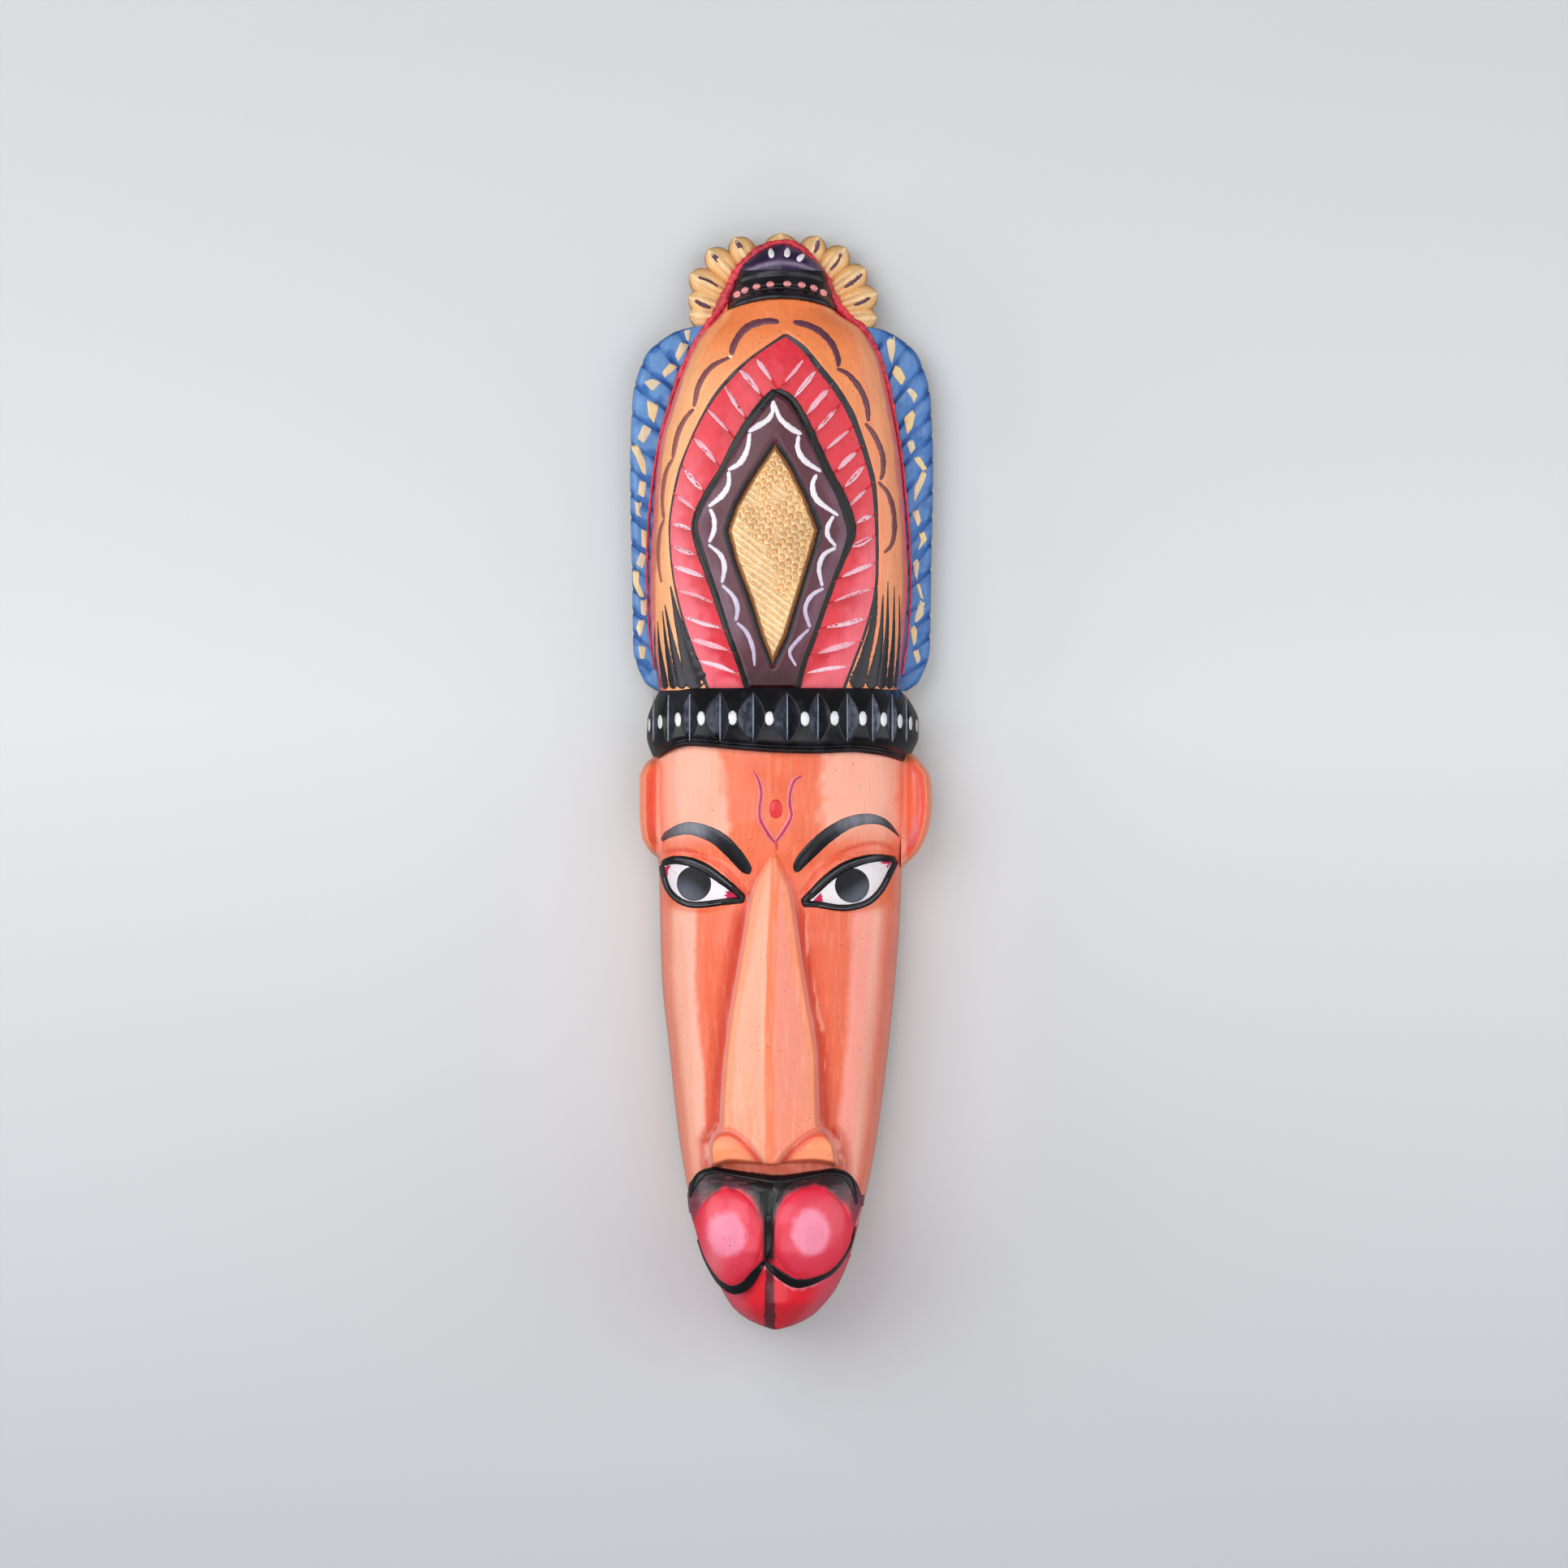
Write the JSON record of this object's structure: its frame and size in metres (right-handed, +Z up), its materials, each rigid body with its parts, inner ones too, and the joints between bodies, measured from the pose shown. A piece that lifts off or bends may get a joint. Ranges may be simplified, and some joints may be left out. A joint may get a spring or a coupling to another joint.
{
  "type": "carved wooden wall mask",
  "caption": "Tall carved and painted wooden wall mask with a domed crown, side wings, petal fan, long face and rounded muzzle; it hangs by a swinging ring on its back.",
  "frame": {"origin": "on the flat back of the spine plank, at the middle of the crown, on the wall plane", "axes": "+Z up along the mask, +Y out of the back into the wall, the mask looks along -Y, +X to the viewer's right"},
  "size_m": [0.113, 0.0685, 0.4053],
  "materials": {
    "face_paint": "salmon-orange gloss paint and varnish on wood",
    "nose_paint": "salmon gloss paint and varnish on wood",
    "muzzle_paint": "red gloss paint and varnish on wood",
    "jaw_paint": "deep red gloss paint and varnish on wood",
    "ear_paint": "salmon gloss paint and varnish on wood",
    "black_paint": "black gloss paint and varnish on wood",
    "crown_paint": "orange gloss paint and varnish on wood",
    "panel_paint": "maroon gloss paint and varnish on wood",
    "gold_paint": "gold-beige metallic paint on wood",
    "cap_paint": "purple gloss paint and varnish on wood",
    "blue_paint": "blue gloss paint and varnish on wood",
    "red_filler": "red paint on a rough bead of sawdust filler",
    "bare_wood": "bare sawn wood with light stain",
    "dowel_wood": "bare turned wood",
    "hanger_steel": "zinc-plated steel, slightly dulled"
  },
  "bodies": {
    "mask": {"face_block": "face_paint", "nose": "nose_paint", "muzzle": "muzzle_paint", "lower_jaw": "jaw_paint", "left_ear": "ear_paint", "right_ear": "ear_paint", "headband": "black_paint", "crown_dome": "crown_paint", "centre_panel": "panel_paint", "gold_lozenge": "gold_paint", "finial_collar": "black_paint", "finial_cap": "cap_paint", "petal_fan": "gold_paint", "left_wing": "blue_paint", "right_wing": "blue_paint", "seam_filler": "red_filler", "backing_board": "bare_wood", "crown_dowels": "dowel_wood", "wing_dowels": "dowel_wood", "muzzle_dowels": "dowel_wood", "hanger_strap": "hanger_steel", "hanger_screws": "hanger_steel"},
    "ring": {"hanger_ring": "hanger_steel"}
  },
  "joints": [
    {"name": "ring_swing", "type": "hinge", "parent": "mask", "child": "ring", "pos_m": [0, -0.0026, 0.034], "axis": [1, 0, 0], "range_deg": [0, 180]}
  ]
}
